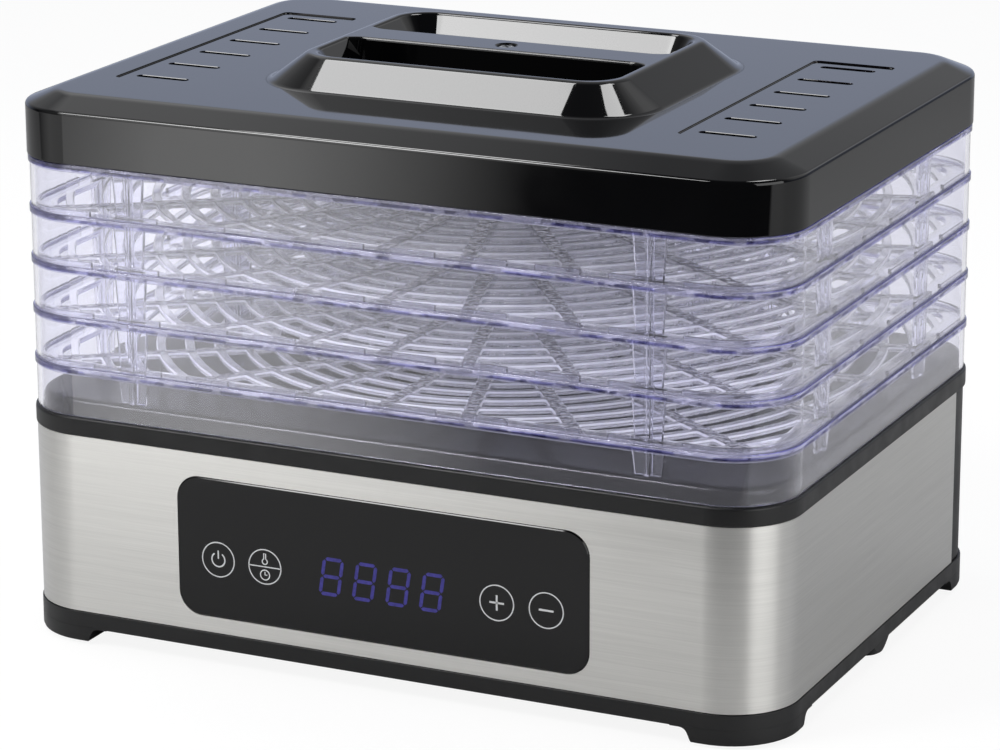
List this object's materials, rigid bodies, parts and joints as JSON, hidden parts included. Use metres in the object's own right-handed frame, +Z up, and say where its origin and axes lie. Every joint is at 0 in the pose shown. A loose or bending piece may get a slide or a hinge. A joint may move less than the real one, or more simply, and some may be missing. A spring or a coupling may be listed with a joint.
{
  "type": "food dehydrator",
  "caption": "Stacking food dehydrator: heated fan base with a touch panel, clear slotted trays that lift off, and a vented lid with a sunken grip.",
  "frame": {"origin": "centre of the footprint, on the surface that the rubber pads stand on", "axes": "+X to the right along the long side, -Y towards the control panel, +Z up"},
  "size_m": [0.34, 0.245, 0.2431],
  "materials": {
    "satin_black_plastic": "moulded satin black ABS",
    "deck_plastic": "moulded semi-gloss black ABS",
    "brushed_stainless": "stainless sheet brushed along its length",
    "panel_glass": "gloss black panel overlay",
    "gloss_black_plastic": "high gloss black ABS",
    "clear_tray_plastic": "clear food grade plastic with a faint violet edge tint",
    "foot_rubber": "moulded rubber",
    "circuit_board": "glass fibre board with green solder mask",
    "display_plastic": "tinted display housing",
    "spring_wire": "nickel alloy wire",
    "zinc_sheet": "zinc plated sheet steel",
    "motor_steel": "laminated steel and copper",
    "mica_board": "pressed mica",
    "component_white": "moulded white component housings",
    "lead_insulation": "silicone lead insulation",
    "zinc_fasteners": "zinc plated screws and nut"
  },
  "bodies": {
    "base": {"air_duct": "zinc_sheet", "base_tub": "satin_black_plastic", "bracket_screw_left": "zinc_fasteners", "bracket_screw_right": "zinc_fasteners", "buzzer": "satin_black_plastic", "control_board": "circuit_board", "control_board_screw_left": "zinc_fasteners", "control_board_screw_right": "zinc_fasteners", "control_panel": "panel_glass", "cord_gland": "satin_black_plastic", "deck_screw_front_left": "zinc_fasteners", "deck_screw_front_right": "zinc_fasteners", "deck_screw_rear_left": "zinc_fasteners", "deck_screw_rear_right": "zinc_fasteners", "display_module": "display_plastic", "fan_motor": "motor_steel", "filter_capacitor": "component_white", "foot_pad_front_left": "foot_rubber", "foot_pad_front_right": "foot_rubber", "foot_pad_rear_left": "foot_rubber", "foot_pad_rear_right": "foot_rubber", "heater_coil_inner": "spring_wire", "heater_coil_outer": "spring_wire", "heater_frame": "mica_board", "heater_lead": "lead_insulation", "motor_bracket": "zinc_sheet", "motor_lead": "lead_insulation", "panel_lead": "lead_insulation", "power_board": "circuit_board", "power_board_screw_front": "zinc_fasteners", "power_board_screw_rear": "zinc_fasteners", "rear_panel": "satin_black_plastic", "relay": "component_white", "steel_wrap": "brushed_stainless", "temperature_sensor": "component_white", "terminal_block": "component_white", "thermal_cutout": "component_white", "top_deck": "deck_plastic", "touch_spring_minus": "spring_wire", "touch_spring_mode": "spring_wire", "touch_spring_plus": "spring_wire", "touch_spring_power": "spring_wire", "transformer": "motor_steel"},
    "fan": {"fan_impeller": "satin_black_plastic", "fan_nut": "zinc_fasteners", "motor_shaft": "motor_steel"},
    "tray_5_body": {"tray_5": "clear_tray_plastic"},
    "tray_4_body": {"tray_4": "clear_tray_plastic"},
    "tray_3_body": {"tray_3": "clear_tray_plastic"},
    "tray_2_body": {"tray_2": "clear_tray_plastic"},
    "tray_1_body": {"tray_1": "clear_tray_plastic"},
    "lid": {"lid_shell": "gloss_black_plastic", "lid_handle": "gloss_black_plastic", "handle_screw": "zinc_fasteners"}
  },
  "joints": [
    {"name": "fan_spin", "type": "hinge", "parent": "base", "child": "fan", "pos_m": [0, 0, 0.0508], "axis": [0, 0, 1], "continuous": true},
    {"name": "tray_5_lift", "type": "slide", "parent": "base", "child": "tray_5_body", "axis": [0, 0, 1], "range_m": [0, 0.05]},
    {"name": "tray_4_lift", "type": "slide", "parent": "tray_5_body", "child": "tray_4_body", "axis": [0, 0, 1], "range_m": [0, 0.05]},
    {"name": "tray_3_lift", "type": "slide", "parent": "tray_4_body", "child": "tray_3_body", "axis": [0, 0, 1], "range_m": [0, 0.05]},
    {"name": "tray_2_lift", "type": "slide", "parent": "tray_3_body", "child": "tray_2_body", "axis": [0, 0, 1], "range_m": [0, 0.05]},
    {"name": "tray_1_lift", "type": "slide", "parent": "tray_2_body", "child": "tray_1_body", "axis": [0, 0, 1], "range_m": [0, 0.05]},
    {"name": "lid_lift", "type": "slide", "parent": "tray_1_body", "child": "lid", "axis": [0, 0, 1], "range_m": [0, 0.05]}
  ]
}
